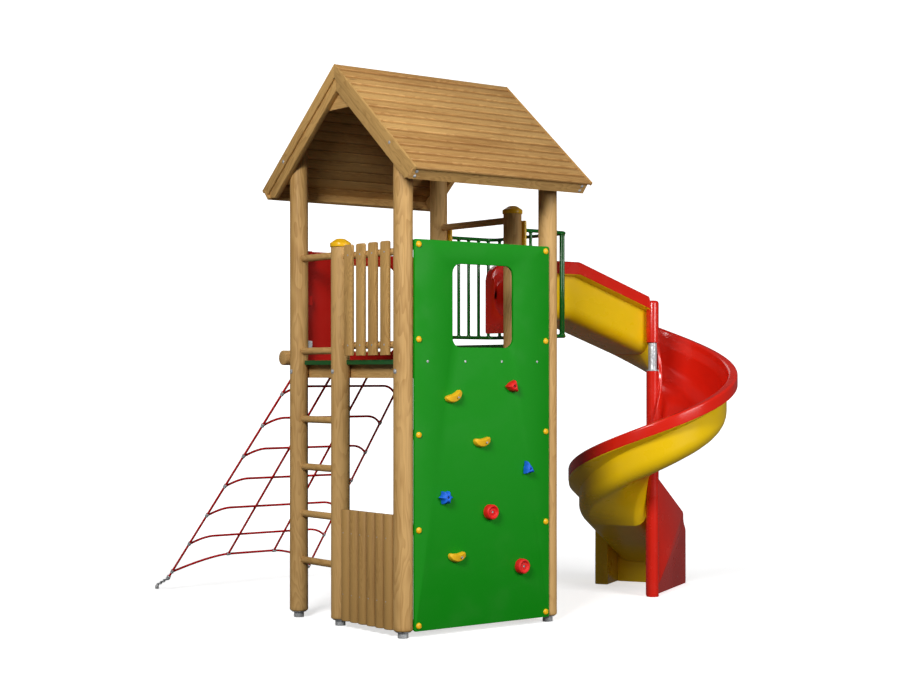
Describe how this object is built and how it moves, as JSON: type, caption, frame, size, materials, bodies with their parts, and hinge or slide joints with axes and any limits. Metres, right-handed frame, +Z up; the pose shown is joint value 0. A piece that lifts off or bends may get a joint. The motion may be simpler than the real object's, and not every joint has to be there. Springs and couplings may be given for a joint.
{
  "type": "play tower with slide",
  "caption": "Timber play tower with a gable roof, climbing wall, ladder, rope net and a red and yellow spiral slide.",
  "frame": {"origin": "on the ground under the front corner post between the climbing wall and the ladder side", "axes": "+Z up, +X along the climbing wall towards the slide, +Y along the ladder side towards the net"},
  "size_m": [3.3835, 3.2787, 3.49],
  "materials": {
    "timber": "satin",
    "roof_timber": "satin",
    "panel_green": "satin",
    "panel_red": "satin",
    "deck_green": "matte",
    "yellow_plastic": "satin",
    "red_plastic": "satin",
    "blue_plastic": "satin",
    "black_steel": "satin",
    "green_tube": "gloss",
    "galvanised": "satin",
    "rope_red": "matte",
    "slide_shell": "gloss"
  },
  "bodies": {
    "root": {"barge_far_back": "roof_timber", "barge_far_front": "roof_timber", "barge_near_back": "roof_timber", "barge_near_front": "roof_timber", "barrier_slats": "timber", "bolt_caps": "yellow_plastic", "cap_e": "yellow_plastic", "cap_f": "yellow_plastic", "climbing_wall": "panel_green", "column_sleeves": "red_plastic", "deck_joists": "timber", "deck_plate": "deck_green", "entrance_bar": "timber", "fascia_back": "roof_timber", "fascia_front": "roof_timber", "guard_cage": "green_tube", "guard_end_boards": "yellow_plastic", "holds_blue": "blue_plastic", "holds_red": "red_plastic", "holds_yellow": "yellow_plastic", "ladder_rungs": "timber", "net_beam": "timber", "net_chains": "galvanised", "net_ropes": "rope_red", "palisade_rails": "timber", "palisade_stakes": "timber", "panel_brackets": "black_steel", "portal_panel": "panel_red", "post_a": "timber", "post_b": "timber", "post_c": "timber", "post_d": "timber", "post_e": "timber", "post_f": "timber", "post_shoes": "galvanised", "rafter_far_back": "roof_timber", "rafter_far_front": "roof_timber", "rafter_near_back": "roof_timber", "rafter_near_front": "roof_timber", "roof_boards_back": "roof_timber", "roof_boards_front": "roof_timber", "roof_gussets": "roof_timber", "slat_rails": "timber", "slide_column": "galvanised", "slide_entry": "slide_shell", "slide_exit": "slide_shell", "slide_spiral": "slide_shell", "step_plate": "deck_green"}
  },
  "joints": []
}
